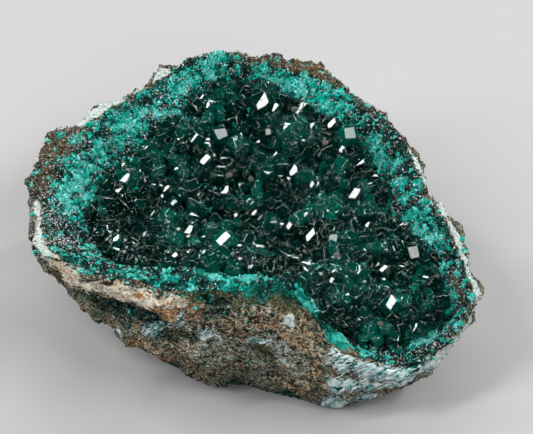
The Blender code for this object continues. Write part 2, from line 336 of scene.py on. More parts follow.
relief = (LUMP_HEIGHT * lumps + CRUMB_HEIGHT * crumbs + GRIT_HEIGHT * grit) * (0.35 + 0.65 * outside)
relief *= 1 - 0.4 * zones["cream"]
relief += (SHEET_HEIGHT * sheets - CRACK_DEPTH * cracks) * outside
relief -= CLEFT_DEPTH * zones["cleft"] * soft_step(-0.3, 0.3, lumps + 0.6 * crumbs + 0.3)
relief *= soft_step(0.2, 2.0, points[:, 2]) * (1 - zones["inside"])
points = points + normals * relief[:, None]
points[:, 2] = np.maximum(points[:, 2], 0)
rock.data.vertices.foreach_set("co", (points * MM).ravel())
rock.data.update()
ROCK_WEIGHTS = (
    "coat", "bright", "cold", "cream", "cleft", "rust", "sand", "brown", "olive", "grey", "pale",
    "foot", "inside",
)
for name in ROCK_WEIGHTS:
    held = rock.data.attributes.new(name, "FLOAT", "POINT")
    held.data.foreach_set("value", np.clip(zones[name], 0, 1).astype(np.float32))
held = rock.data.attributes.new("along_rim", "FLOAT_VECTOR", "POINT")
held.data.foreach_set("vector", (along_rim * MM).astype(np.float32).ravel())
rock.data.shade_smooth()


def new_material(name):
    """A new material, with its node tree and its shader."""
    made = bpy.data.materials.new(name)
    made.use_nodes = True
    return made, made.node_tree, made.node_tree.nodes["Principled BSDF"]


def set_or_link(tree, socket, value):
    """Gives a socket a number or colour, or the other node's output that feeds it."""
    if isinstance(value, bpy.types.NodeSocket):
        tree.links.new(value, socket)
    elif isinstance(value, tuple) and socket.type == "RGBA":
        socket.default_value = (*value, 1)
    else:
        socket.default_value = value


def node(tree, kind, settings=None, **inputs):
    """A new node. Each named input takes a value, or another node's socket."""
    made = tree.nodes.new("ShaderNode" + kind)
    for name, value in (settings or {}).items():
        setattr(made, name, value)
    for name, value in inputs.items():
        set_or_link(tree, made.inputs[name.replace("_", " ")], value)
    return made


def mixed(tree, amount, under, over, blend="MIX"):
    """The colour over laid on the colour under, by amount."""
    made = node(tree, "Mix", {"data_type": "RGBA", "blend_type": blend})
    for place, value in ((0, amount), (6, under), (7, over)):
        set_or_link(tree, made.inputs[place], value)
    return made.outputs[2]


def maths(tree, operation, *values):
    """The sum, product or other number that a Math node makes of the values."""
    made = node(tree, "Math", {"operation": operation})
    for socket, value in zip(made.inputs, values):
        set_or_link(tree, socket, value)
    return made.outputs[0]


def ramp(tree, value, *stops):
    """The colour at this value between stops, each a place from 0 to 1 and its colour."""
    made = tree.nodes.new("ShaderNodeValToRGB")
    while len(made.color_ramp.elements) < len(stops):
        made.color_ramp.elements.new(0.5)
    for element, (place, colour) in zip(made.color_ramp.elements, stops):
        element.position = place
        element.color = (*colour, 1)
    tree.links.new(value, made.inputs["Fac"])
    return made.outputs["Color"]


def noise_at(tree, where, size_mm, detail=3.0, rough=0.6, warp=0.0):
    """A noise field with lumps of about this size."""
    return node(
        tree, "TexNoise",
        Vector=where, Scale=1000 / size_mm, Detail=detail, Roughness=rough, Distortion=warp,
    ).outputs["Fac"]


def between(tree, value, low, high, to_low=0.0, to_high=1.0):
    """The value's place between low and high, smoothly, as a number from to_low to to_high."""
    return node(
        tree, "MapRange", {"interpolation_type": "SMOOTHSTEP"},
        Value=value, From_Min=low, From_Max=high, To_Min=to_low, To_Max=to_high,
    ).outputs[0]


def ragged(tree, weight, grain, raggedness, width):
    """A weight made to end along the lines of a grain instead of softly."""
    shifted = maths(tree, "MULTIPLY_ADD", maths(tree, "SUBTRACT", grain, 0.5), raggedness, weight)
    return between(tree, shifted, 0.5 - width / 2, 0.5 + width / 2)


def thin_lines(tree, field, width):
    """1 along the lines where a noise field crosses its middle."""
    off_middle = maths(tree, "ABSOLUTE", maths(tree, "SUBTRACT", field, 0.5))
    return between(tree, off_middle, width, width * 0.3)


rock_skin, tree, shader = new_material("altered_rock")
where = node(tree, "TexCoord").outputs["Object"]
layered = node(tree, "Attribute", {"attribute_name": "along_rim"}).outputs["Vector"]
weight = {
    name: node(tree, "Attribute", {"attribute_name": name}).outputs["Fac"] for name in ROCK_WEIGHTS
}
fine = noise_at(tree, where, 0.5, 4, 0.7)
small = noise_at(tree, layered, 1.0, 5, 0.65)
middle = noise_at(tree, layered, 3.0, 5, 0.6)
broad = noise_at(tree, where, 8.0, 4)
crumb = node(tree, "TexVoronoi", Vector=layered, Scale=1000 / 0.42, Randomness=1.0)
crumb_value = node(tree, "SeparateColor", Color=crumb.outputs["Color"]).outputs[0]

colour = ramp(
    tree, broad,
    (0.36, (0.46, 0.29, 0.15)), (0.47, (0.36, 0.27, 0.16)),
    (0.56, (0.30, 0.32, 0.26)), (0.66, (0.52, 0.42, 0.27)),
)
colour = mixed(tree, between(tree, middle, 0.54, 0.60, 0, 0.75), colour, (0.46, 0.18, 0.05))
colour = mixed(tree, between(tree, small, 0.52, 0.58, 0, 0.85), colour, (0.42, 0.49, 0.47))
colour = mixed(tree, ragged(tree, weight["sand"], small, 3.2, 0.8), colour, (0.54, 0.38, 0.22))
speckle = ramp(
    tree, crumb_value,
    (0.0, (0.03, 0.04, 0.03)), (0.20, (0.08, 0.08, 0.07)),
    (0.28, (0.66, 0.66, 0.60)), (0.70, (1.0, 1.0, 0.92)),
)
colour = mixed(tree, 0.95, colour, speckle, "MULTIPLY")
colour = mixed(tree, between(tree, crumb_value, 0.87, 0.90, 0, 0.85), colour, (0.62, 0.64, 0.58))
colour = mixed(tree, between(tree, small, 0.46, 0.42, 0, 0.95), colour, (0.008, 0.008, 0.006))
colour = mixed(tree, between(tree, fine, 0.43, 0.38, 0, 0.95), colour, (0.008, 0.007, 0.005))
teal_lines = thin_lines(tree, noise_at(tree, layered, 4.6, 5, 0.7), 0.022)
colour = mixed(tree, teal_lines, colour, (0.004, 0.085, 0.070))
dark_lines = thin_lines(tree, noise_at(tree, layered, 8.0, 5, 0.7, 0.4), 0.016)
colour = mixed(tree, dark_lines, colour, (0.006, 0.006, 0.005))

rusty = ramp(
    tree, fine,
    (0.40, (0.02, 0.012, 0.008)), (0.48, (0.30, 0.13, 0.045)), (0.60, (0.60, 0.42, 0.24)),
)
colour = mixed(tree, ragged(tree, weight["rust"], small, 4.5, 0.6), colour, rusty)
ashen = ramp(
    tree, fine,
    (0.40, (0.03, 0.03, 0.02)), (0.48, (0.24, 0.28, 0.24)), (0.62, (0.58, 0.63, 0.57)),
)
half_grey = maths(tree, "MULTIPLY", weight["grey"], 0.5)
colour = mixed(tree, ragged(tree, half_grey, small, 4.5, 0.5), colour, ashen)
mossy = ramp(
    tree, fine,
    (0.35, (0.010, 0.014, 0.006)), (0.5, (0.070, 0.075, 0.026)), (0.66, (0.26, 0.27, 0.16)),
)
colour = mixed(tree, ragged(tree, weight["olive"], small, 2.4, 0.4), colour, mossy)
earthy = ramp(
    tree, fine,
    (0.36, (0.010, 0.016, 0.013)), (0.47, (0.090, 0.070, 0.040)),
    (0.56, (0.22, 0.17, 0.10)), (0.66, (0.52, 0.54, 0.47)),
)
colour = mixed(tree, ragged(tree, weight["brown"], small, 2.2, 0.4), colour, earthy)
# Darker, teal-black colour towards the bottom of the outer wall, within a few mm of the floor.
dark_near_foot = ramp(
    tree, fine,
    (0.42, (0.002, 0.008, 0.006)), (0.55, (0.006, 0.060, 0.048)), (0.68, (0.16, 0.26, 0.23)),
)
colour = mixed(tree, ragged(tree, weight["foot"], small, 2.6, 0.4), colour, dark_near_foot)

swirls = noise_at(tree, where, 3.8, 2, 0.5, 1.2)
swirl_lines = thin_lines(tree, maths(tree, "FRACT", maths(tree, "MULTIPLY", swirls, 14.0)), 0.20)
swirl_lines = maths(tree, "MULTIPLY", swirl_lines, between(tree, middle, 0.42, 0.54, 0.2, 0.95))
creamy = ramp(
    tree, small,
    (0.38, (0.04, 0.16, 0.13)), (0.44, (0.72, 0.55, 0.34)),
    (0.50, (0.92, 0.84, 0.68)), (0.58, (0.86, 0.94, 0.88)),
)
creamy = mixed(tree, swirl_lines, creamy, (0.50, 0.24, 0.07))
creamy = mixed(tree, between(tree, middle, 0.58, 0.66), creamy, (0.46, 0.22, 0.07))
creamy = mixed(tree, between(tree, fine, 0.40, 0.34), creamy, (0.03, 0.05, 0.04))
colour = mixed(tree, ragged(tree, weight["cream"], small, 1.6, 0.3), colour, creamy)

along_layers = node(tree, "VectorMath", {"operation": "DOT_PRODUCT"})
set_or_link(tree, along_layers.inputs[0], where)
set_or_link(tree, along_layers.inputs[1], LAYER_WAY)
streaks = node(tree, "VectorMath", {"operation": "MULTIPLY_ADD"})
set_or_link(tree, streaks.inputs[0], along_layers.outputs["Value"])
set_or_link(tree, streaks.inputs[1], tuple(-LAYER_STRETCH * part for part in LAYER_WAY))
set_or_link(tree, streaks.inputs[2], where)
flakes_height = noise_at(tree, streaks.outputs[0], 1.0, 5, 0.75, 0.5)
cold_stone = ramp(
    tree, flakes_height,
    (0.40, (0.003, 0.050, 0.042)), (0.45, (0.060, 0.320, 0.290)), (0.49, (0.400, 0.580, 0.590)),
    (0.58, (0.820, 0.900, 0.890)),
)
cold_lines = thin_lines(tree, noise_at(tree, streaks.outputs[0], 4.0, 4, 0.6, 0.6), 0.024)
cold_stone = mixed(tree, cold_lines, cold_stone, (0.004, 0.040, 0.034))
colour = mixed(tree, ragged(tree, weight["cold"], flakes_height, 2.6, 0.35), colour, cold_stone)
pale_stone = ramp(
    tree, fine,
    (0.36, (0.10, 0.26, 0.23)), (0.46, (0.56, 0.66, 0.63)), (0.60, (0.84, 0.88, 0.85)),
)
colour = mixed(tree, ragged(tree, weight["pale"], small, 1.2, 0.3), colour, pale_stone)
# Painted shade: the clefts under the ledge are coloured near black-green on top of their real recess.
painted_cleft_shade = ramp(
    tree, fine,
    (0.46, (0.001, 0.004, 0.003)), (0.54, (0.003, 0.055, 0.042)), (0.64, (0.28, 0.32, 0.25)),
)
colour = mixed(tree, ragged(tree, weight["cleft"], small, 3.0, 0.4), colour, painted_cleft_shade)

coat_mix = maths(tree, "MULTIPLY_ADD", maths(tree, "SUBTRACT", fine, 0.5), 1.2, middle)
brighter = maths(tree, "SUBTRACT", weight["bright"], 0.35)
coat_mix = maths(tree, "MULTIPLY_ADD", brighter, 0.28, coat_mix)
turquoise = ramp(
    tree, coat_mix,
    (0.30, (0.0010, 0.010, 0.008)), (0.42, (0.001, 0.060, 0.046)), (0.54, (0.003, 0.240, 0.190)),
    (0.70, (0.015, 0.500, 0.410)), (0.85, (0.200, 0.650, 0.580)),
)
colour = mixed(tree, ragged(tree, weight["coat"], small, 1.0, 0.25), colour, turquoise)
deep = ramp(
    tree, middle,
    (0.35, (0.0004, 0.004, 0.003)), (0.6, (0.001, 0.025, 0.018)), (0.8, (0.002, 0.09, 0.065)),
)
colour = mixed(tree, weight["inside"], colour, deep)
tree.links.new(colour, shader.inputs["Base Color"])
tree.links.new(maths(tree, "MULTIPLY_ADD", fine, 0.4, 0.45), shader.inputs["Roughness"])
shader.inputs["Specular IOR Level"].default_value = 0.10
grain_height = maths(tree, "MULTIPLY_ADD", crumb.outputs["Distance"], 0.5, fine)
grain_height = maths(tree, "MULTIPLY_ADD", small, 1.6, grain_height)
grain_height = maths(tree, "MULTIPLY_ADD", dark_lines, -0.7, grain_height)
bump = node(tree, "Bump", Strength=0.9, Distance=0.35 * MM, Height=grain_height)
tree.links.new(bump.outputs["Normal"], shader.inputs["Normal"])
rock.data.materials.append(rock_skin)
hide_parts("matrix_rock")
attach(rock, "root")

# The druse on the rim
# A sparkling coat of splinters under two millimetres wide: turquoise and teal with black-green and
# white ones inside the rim, and brown ones along its top. The white ones are partly white grains and
# partly painted glints for the rim's sparkle. Each has four faces and is half sunk into the rock.
# Sizes are about half a splinter's width in mm.
SPLINTER_COUNT = 38000
SPLINTER_SIZE = (0.20, 0.50)
FLAKE_SIZE = (0.30, 1.05)
FLAKE_TILT = 0.35
FLAKE_FLOW = 4.5
PATCH_SIZE, CRUMBLE_SIZE = 3.0, 1.2
KIND_LEVELS = {"light": 0.56, "turquoise": 0.10, "teal": -0.12}
EARTH_SHARE, RUST_SHARE, STRAY_RUST_SHARE = 0.45, 0.4, 0.01
# White splinters: partly white grains and partly painted glints, most of all at the places below.
WHITE_GLINT_SHARE, WHITE_GLINT_PLACE_SHARE = 0.15, 0.35
WHITE_GLINT_PLACES = (
    (3.4, (-17.5, 24.5, 28.7), (-11.5, 25.5, 28.3)), (3.6, (-42, -6, 27), (-40, -16, 27)),
    (2.5, (3, 34, 30)),
)
SPLINTER_TINTS = {
    "turquoise": (0.008, 0.60, 0.48), "light": (0.18, 0.86, 0.76), "teal": (0.002, 0.18, 0.14),
    "dark": (0.0006, 0.010, 0.008), "white_glint_grain": (0.74, 0.82, 0.80), "earth": (0.23, 0.17, 0.09),
    "rust": (0.40, 0.19, 0.07),
}
chance = np.random.default_rng(21)


def random_turns(count):
    """Evenly random rotations, as matrices."""
    four = chance.normal(size=(count, 4))
    w, x, y, z = four.T / np.linalg.norm(four, axis=1)
    return np.stack(
        (
            1 - 2 * (y * y + z * z), 2 * (x * y - z * w), 2 * (x * z + y * w),
            2 * (x * y + z * w), 1 - 2 * (x * x + z * z), 2 * (y * z - x * w),
            2 * (x * z - y * w), 2 * (y * z + x * w), 1 - 2 * (x * x + y * y),
        ),
        axis=1,
    ).reshape(count, 3, 3)


def flat_turns(points, normals, tilt):
    """Rotations that lay flakes on a surface, a little tilted, and neighbours much the same way."""
    up = normals + chance.normal(0, tilt, normals.shape)
    up /= np.linalg.norm(up, axis=1, keepdims=True)
    flow = np.array([noise.noise_vector(Vector(point)) for point in points / FLAKE_FLOW])
    along = np.cross(up, flow + chance.normal(0, 0.15, up.shape))
    along /= np.linalg.norm(along, axis=1, keepdims=True)
    return np.stack((along, np.cross(up, along), up), axis=2)


def joined_copies(name, pattern, places, turns, sizes, tints):
    """One object that holds a copy of the pattern's mesh at each place, turned, sized and tinted.

    A tint's fourth number, 1 where it isn't given, says how far the copy's faces are stepped.
    """
    shape = numbers(pattern.vertices, "co", 3).astype(float)
    corners = np.empty(len(pattern.loops), np.int32)
    pattern.loops.foreach_get("vertex_index", corners)
    totals = np.empty(len(pattern.polygons), np.int32)
    pattern.polygons.foreach_get("loop_total", totals)
    smooth = np.empty(len(pattern.polygons), bool)
    pattern.polygons.foreach_get("use_smooth", smooth)
    count = len(places)
    spread = np.einsum("nij,vj->nvi", turns, shape) * sizes[:, None, None] + places[:, None, :]
    mesh = bpy.data.meshes.new(name)
    mesh.vertices.add(count * len(shape))
    mesh.vertices.foreach_set("co", (spread * MM).astype(np.float32).ravel())
    mesh.loops.add(count * len(corners))
    every = (corners[None, :] + np.arange(count)[:, None] * len(shape)).astype(np.int32)
    mesh.loops.foreach_set("vertex_index", every.ravel())
    mesh.polygons.add(count * len(totals))
    starts = np.concatenate(([0], np.cumsum(np.tile(totals, count))[:-1])).astype(np.int32)
    mesh.polygons.foreach_set("loop_start", starts)
    mesh.update(calc_edges=True)
    mesh.validate()
    mesh.polygons.foreach_set("use_smooth", np.tile(smooth, count))
    each = np.repeat(np.hstack((tints, np.ones((count, 1))))[:, :4], len(shape), axis=0)
    held = mesh.attributes.new("tint", "FLOAT_COLOR", "POINT")
    held.data.foreach_set("color", each.astype(np.float32).ravel())
    made = bpy.data.objects.new(name, mesh)
    scene.collection.objects.link(made)
    return made


bpy.ops.object.select_all(action="DESELECT")
bpy.ops.mesh.primitive_cone_add(vertices=3, radius1=1, radius2=0, depth=1.4)
splinter = bpy.context.object
bpy.ops.object.mode_set(mode="EDIT")
bpy.ops.transform.resize(value=(1, 0.5, 0.38))
bpy.ops.object.mode_set(mode="OBJECT")
splinter_pattern = splinter.data.copy()
bpy.data.objects.remove(splinter)

skin_points = numbers(rock.data.polygons, "center", 3).astype(float) / MM
skin_normals = numbers(rock.data.polygons, "normal", 3).astype(float)
skin = zones_of(skin_points, skin_normals)
skin_direction, skin_distance = round_the_hollow(skin_points)
on_band = soft_step(-2.5, -0.5, skin_distance - read_edge(crust_line, 1, skin_direction))
odds = on_band * (1 - 0.97 * skin["outside"] * (1 - 0.6 * skin["brown"]))
odds *= 1 - 0.95 * skin["cream"]
odds *= (skin_normals[:, 2] > -0.3) * (skin["drop"] < 14) * (1 - soft_step(0.15, 0.4, skin["pale"]))
odds *= 1 - soft_step(0.1, 0.4, skin["outside"]) * soft_step(2.0, 4.5, skin["drop"])
picked = chance.choice(len(skin_points), SPLINTER_COUNT, p=odds / odds.sum())
patches = grain_of(skin_points[picked], PATCH_SIZE, 3)
crumbled = grain_of(skin_points[picked], CRUMBLE_SIZE, 2)
richness = 0.82 * skin["bright"][picked] + 0.1 * skin["teal"][picked] - 0.40
richness = richness + 1.2 * patches + 1.3 * crumbled
richness = richness + chance.normal(0, 0.05, SPLINTER_COUNT)
kinds = np.select([richness > level for level in KIND_LEVELS.values()], list(KIND_LEVELS), "dark")
on_brown = skin["brown"][picked] + 0.5 * patches > 0.5
kinds = np.where(on_brown & (chance.random(SPLINTER_COUNT) < EARTH_SHARE), "earth", kinds)
on_rust = skin["rust"][picked] > 0.35
kinds = np.where(on_rust & (chance.random(SPLINTER_COUNT) < RUST_SHARE), "rust", kinds)
white_glint_odds = WHITE_GLINT_SHARE * (1 - 0.7 * skin["teal"][picked])
white_glint_odds = white_glint_odds + WHITE_GLINT_PLACE_SHARE * close_to(skin_points[picked], WHITE_GLINT_PLACES)
kinds = np.where(chance.random(SPLINTER_COUNT) < white_glint_odds, "white_glint_grain", kinds)
kinds = np.where(chance.random(SPLINTER_COUNT) < STRAY_RUST_SHARE, "rust", kinds)
splinter_tints = np.array([SPLINTER_TINTS[kind] for kind in kinds])
splinter_tints = np.clip(splinter_tints * chance.uniform(0.75, 1.25, (SPLINTER_COUNT, 1)), 0, 0.9)
flaky = (kinds == "turquoise") | (kinds == "light")
splinter_sizes = chance.uniform(*SPLINTER_SIZE, SPLINTER_COUNT) * np.where(kinds == "earth", 0.7, 1.0)
splinter_sizes = np.where(flaky, chance.uniform(*FLAKE_SIZE, SPLINTER_COUNT), splinter_sizes)
splinter_turns = random_turns(SPLINTER_COUNT)
splinter_turns[flaky] = flat_turns(
    skin_points[picked][flaky], skin_normals[picked][flaky], FLAKE_TILT
)
splinter_places = skin_points[picked] + chance.normal(0, 0.18, (SPLINTER_COUNT, 3))
splinter_places = splinter_places + skin_normals[picked] * (splinter_sizes * 0.1)[:, None]
druse = joined_copies(
    "rim_druse", splinter_pattern, splinter_places, splinter_turns, splinter_sizes, splinter_tints
)

druse_skin, tree, shader = new_material("fine_copper_druse")
cloud = noise_at(tree, node(tree, "TexCoord").outputs["Object"], 0.5, 2)
shade = ramp(tree, cloud, (0.3, (0.5, 0.5, 0.5)), (0.7, (1.0, 1.0, 1.0)))
tint = node(tree, "Attribute", {"attribute_name": "tint"}).outputs["Color"]
tree.links.new(mixed(tree, 1.0, tint, shade, "MULTIPLY"), shader.inputs["Base Color"])
tree.links.new(maths(tree, "MULTIPLY_ADD", cloud, 0.4, 0.08), shader.inputs["Roughness"])
shader.inputs["IOR"].default_value = 1.6
shader.inputs["Specular IOR Level"].default_value = 0.3
druse.data.materials.append(druse_skin)
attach(druse, "root")

# The crystal crust
# Dioptase crystals, 2 to 5 mm wide, that grew side by side over the whole hollow: six-sided, ending
# in three sloping faces, glassy, and deep green right through. They stand on a bed of the same green
# mineral. Sizes are in mm, and a crystal's shape is in shares of its radius.
BED_GRID = 0.8 * MM
TIP_SLOPE = math.radians(51)
TIP_HEIGHT = 1.25
EDGE_WIDTH = 0.09
LARGE_TRIES, LARGE_RADIUS, LARGE_ROOM = 9000, (1.2, 2.5), 0.56
SMALL_TRIES, SMALL_RADIUS, SMALL_ROOM = 9000, (0.45, 0.95), 0.95
LEAN_PATCH, SPIN_PATCH, GLOW_PATCH = 7.0, 9.0, 8.0
ABOVE_ALL = 60
DIOPTASE_IOR = 1.66
ABSORPTION = 700.0
DEEP_GREEN, EMERALD = (0.0006, 0.080, 0.056), (0.008, 0.74, 0.53)
STEP_SIZE, STEP_WIDTH, STEP_WANDER = 2.2, 0.11, 1.6
LIGHT_MARGIN = 1.35
FLASH_RISE = 0.85
FLASHES = (  # crystals that catch the light: x, y, radius, and the number of the light they mirror
    (2.3, 29.7, 3.1, 1), (5.3, 29.3, 1.8, 0), (20.4, 20.6, 2.6, 3), (18.3, 23.6, 1.9, 0),
    (19.5, 18.5, 1.4, 1), (21.8, 22.0, 1.6, 0), (-7.6, 23.4, 2.4, 3), (-10.2, 15.8, 2.2, 0),
    (9.2, 15.0, 2.1, 1), (8.8, 12.6, 1.2, 0), (-26.3, 6.4, 2.0, 0), (-6.0, 8.4, 1.7, 1),
    (22.7, 3.3, 2.3, 1), (-4.9, -8.8, 2.9, 0), (15.1, -3.0, 2.2, 0), (17.7, -4.6, 1.7, 3),
    (33.5, -12.3, 2.4, 3), (30.3, -25.8, 2.5, 1), (-14.0, -3.7, 1.9, 1), (-15.4, -20.4, 1.5, 0),
    (-27.9, -15.2, 1.4, 0), (4.6, 19.8, 1.4, 1), (7.4, 0.0, 1.4, 1), (29.1, -16.6, 1.5, 0),
    (27.4, -12.2, 1.2, 1), (-2.5, 24.6, 1.2, 0), (-20.0, -12.0, 1.3, 3), (25.7, -1.3, 1.2, 0),
    (12.9, 10.0, 1.2, 1), (0.8, 5.1, 1.1, 0), (16.8, -18.1, 1.2, 1), (-19.8, 4.6, 1.2, 0),
)
# Painted light in the crystals' tint: near these places crystals are tinted bright emerald for light
# glowing through them, and near the next ones nearly black for shade in the hollow.
PAINTED_GLOW_PLACES = (
    (4.5, (22, -32, 13), (29.5, -31, 14)), (4, (-25, 10, 26), (-21, 13, 26)),
    (3.5, (36, -17, 17), (39, -15, 18)), (3.5, (28, -21, 15)), (3, (-18, -8, 20)),
    (3.5, (8, 24, 25)), (3, (-32, -4, 25)),
)
PAINTED_SHADE_PLACES = (
    (8, (-29, -4, 21), (-24, -14, 20)), (5, (-13, 5, 15), (-10, -2, 13)), (4, (-22, 3, 20)),
)

bed = copy_of_node("dioptase_crust", "dioptase_crystals", BED_GRID)
rounded = bed.modifiers.new("worn round", "SMOOTH")
rounded.factor = 0.5
rounded.iterations = 14
bpy.ops.object.modifier_apply(modifier=rounded.name)
bed.data.shade_smooth()
bed_points = numbers(bed.data.polygons, "center", 3).astype(float) / MM
bed_normals = numbers(bed.data.polygons, "normal", 3).astype(float)
bed_tree = BVHTree.FromObject(bed, bpy.context.evaluated_depsgraph_get())
top_faces = np.flatnonzero(bed_normals[:, 2] > 0.08)

bpy.ops.object.select_all(action="DESELECT")
bpy.ops.mesh.primitive_cylinder_add(vertices=6, radius=1, depth=3.4, location=(0, 0, 0.1))
crystal = bpy.context.object
bpy.ops.object.mode_set(mode="EDIT")
for side in range(3):
    turn = side * 2 * math.pi / 3 + math.pi / 2
    level = math.sin(TIP_SLOPE)
    slope = (level * math.cos(turn), level * math.sin(turn), math.cos(TIP_SLOPE))
    bpy.ops.mesh.select_all(action="SELECT")
    bpy.ops.mesh.bisect(plane_co=(0, 0, TIP_HEIGHT), plane_no=slope, use_fill=True, clear_outer=True)
bpy.ops.object.mode_set(mode="OBJECT")
crystal_faces = numbers(crystal.data.polygons, "normal", 3).astype(float)
crystal_faces = crystal_faces[crystal_faces[:, 2] > -0.5]
plain_pattern = crystal.data.copy()
bpy.ops.object.mode_set(mode="EDIT")
bpy.ops.mesh.select_mode(type="EDGE")
bpy.ops.mesh.select_all(action="DESELECT")
crystal_edit = bmesh.from_edit_mesh(crystal.data)
lowest = min(vertex.co.z for vertex in crystal_edit.verts)
for edge in crystal_edit.edges:
    edge.select_set(max(vertex.co.z for vertex in edge.verts) > lowest + 0.1)
bmesh.update_edit_mesh(crystal.data)
bpy.ops.mesh.bevel(offset=EDGE_WIDTH, segments=1, affect="EDGES")
bpy.ops.object.mode_set(mode="OBJECT")
crystal.data.shade_smooth()
bevelled_pattern = crystal.data.copy()
bpy.data.objects.remove(crystal)


def upright_turn(axis, spin):
    """A matrix that stands the crystal's length along the axis and turns it about that."""
    return np.array(axis.to_track_quat("Z", "Y").to_matrix() @ Matrix.Rotation(spin, 3, "Z"))


def mirror_turn(facet, ground):
    """A matrix that turns an end face of the crystal along facet, and its length towards ground."""
    side = (ground - ground.dot(facet) * facet).normalized()
    axis = facet * math.cos(TIP_SLOPE) + side * math.sin(TIP_SLOPE)
    up = (facet - facet.dot(axis) * axis).normalized()
    return np.array(Matrix((up.cross(axis), up, axis)).transposed())


def mirrors_a_light(turn, spot):
    """Whether any face of a crystal turned like this shows a light to the camera."""
    faces = crystal_faces @ turn.T
    seen = faces @ np.array(to_camera)
    away = 2 * faces * seen[:, None] - np.array(to_camera)
    for middle, axes, half_width, half_height in light_frames:
        to_light = middle - spot * MM
        closing = away @ axes[:, 2]
        closing = np.where(closing > 0.01, closing, np.inf)
        missed_by = (away * ((to_light @ axes[:, 2]) / closing)[:, None] - to_light) @ axes
        on_it = abs(missed_by[:, 0]) < half_width * LIGHT_MARGIN
        on_it &= abs(missed_by[:, 1]) < half_height * LIGHT_MARGIN
        if (on_it & np.isfinite(closing) & (seen > 0.05)).any():
            return True
    return False


grown_at, grown_turn, grown_radius = [], [], []
for x, y, radius, light_number in FLASHES:
    spot, ground, _, _ = bed_tree.ray_cast(Vector((x, y, ABOVE_ALL)) * MM, Vector((0, 0, -1)))
    if spot is None:
        continue
    to_light = (Vector(light_frames[light_number][0]) - spot).normalized()
    facet = (to_camera + to_light).normalized()
    grown_at.append(np.array(spot) / MM + np.array(ground) * radius * FLASH_RISE)
    grown_turn.append(mirror_turn(facet, ground))
    grown_radius.append(radius)


def grow(tries, radii, room, lean, rise, flash_odds):
    """Adds crystals at random on the bed, wherever there is room beside those that are there."""
    for face in chance.choice(top_faces, tries):
        radius = radii[0] + (radii[1] - radii[0]) * chance.random() ** 1.4
        spot = bed_points[face]
        apart = np.linalg.norm(np.array(grown_at) - spot, axis=1)
        if (apart < room * (np.array(grown_radius) + radius)).any():
            continue
        flow = noise.noise_vector(Vector(spot / LEAN_PATCH)) * 1.1
        stray = Vector(chance.normal(0, lean, 3))
        axis = (Vector(bed_normals[face]) + 0.9 * flow + stray).normalized()
        if axis.dot(Vector(bed_normals[face])) < 0.45:
            continue
        spin = 2.5 * noise.noise(Vector(spot / SPIN_PATCH)) + chance.normal(0, 0.35)
        turn = upright_turn(axis, spin)
        if chance.random() > flash_odds and mirrors_a_light(turn, spot):
            continue
        grown_at.append(spot + bed_normals[face] * radius * rise)
        grown_turn.append(turn)
        grown_radius.append(radius)


grow(LARGE_TRIES, LARGE_RADIUS, LARGE_ROOM, lean=0.25, rise=0.25, flash_odds=0.01)
large_count = len(grown_at)
grow(SMALL_TRIES, SMALL_RADIUS, SMALL_ROOM, lean=0.4, rise=0.35, flash_odds=0.06)
grown_at = np.array(grown_at)
grown_turn = np.array(grown_turn)
grown_radius = np.array(grown_radius)
# Each crystal's tint runs from deep green to emerald by a random grain that stands for light glowing
# through the crystals, raised at the glow places and lowered at the shade places: painted glow and
# painted shade.
glow = grain_of(grown_at, GLOW_PATCH, 3) * 1.1 + chance.normal(0, 0.2, len(grown_at))
glow += 0.7 * close_to(grown_at, PAINTED_GLOW_PLACES) - 0.8 * close_to(grown_at, PAINTED_SHADE_PLACES)
tone = soft_step(-0.35, 0.95, glow)[:, None] ** 1.5
crystal_tints = (1 - tone) * np.array(DEEP_GREEN) + tone * np.array(EMERALD)
stepped = np.arange(len(grown_at)) >= len(FLASHES)
crystal_tints = np.hstack((crystal_tints, stepped[:, None]))
large = joined_copies(
    "large_crystals", bevelled_pattern, grown_at[:large_count], grown_turn[:large_count],
    grown_radius[:large_count], crystal_tints[:large_count],
)
small = joined_copies(
    "small_crystals", plain_pattern, grown_at[large_count:], grown_turn[large_count:],
    grown_radius[large_count:], crystal_tints[large_count:],
)
bpy.ops.object.select_all(action="DESELECT")
large.select_set(True)
bpy.context.view_layer.objects.active = large
crisp = large.modifiers.new("crisp faces", "WEIGHTED_NORMAL")
crisp.mode = "FACE_AREA"
crisp.weight = 100
bpy.ops.object.modifier_apply(modifier=crisp.name)

bed_skin, tree, shader = new_material("massive_dioptase")
where = node(tree, "TexCoord").outputs["Object"]
clouds = noise_at(tree, where, 4.0)
bed_colour = ramp(
    tree, clouds,
    (0.42, (0.0003, 0.003, 0.002)), (0.60, (0.001, 0.024, 0.017)), (0.74, (0.002, 0.14, 0.10)),
)
tree.links.new(bed_colour, shader.inputs["Base Color"])
tree.links.new(maths(tree, "MULTIPLY_ADD", clouds, 0.3, 0.2), shader.inputs["Roughness"])
shader.inputs["Specular IOR Level"].default_value = 0.06
bed_bump = node(tree, "Bump", Strength=0.6, Distance=0.3 * MM, Height=noise_at(tree, where, 0.9))
tree.links.new(bed_bump.outputs["Normal"], shader.inputs["Normal"])
bed.data.materials.append(bed_skin)

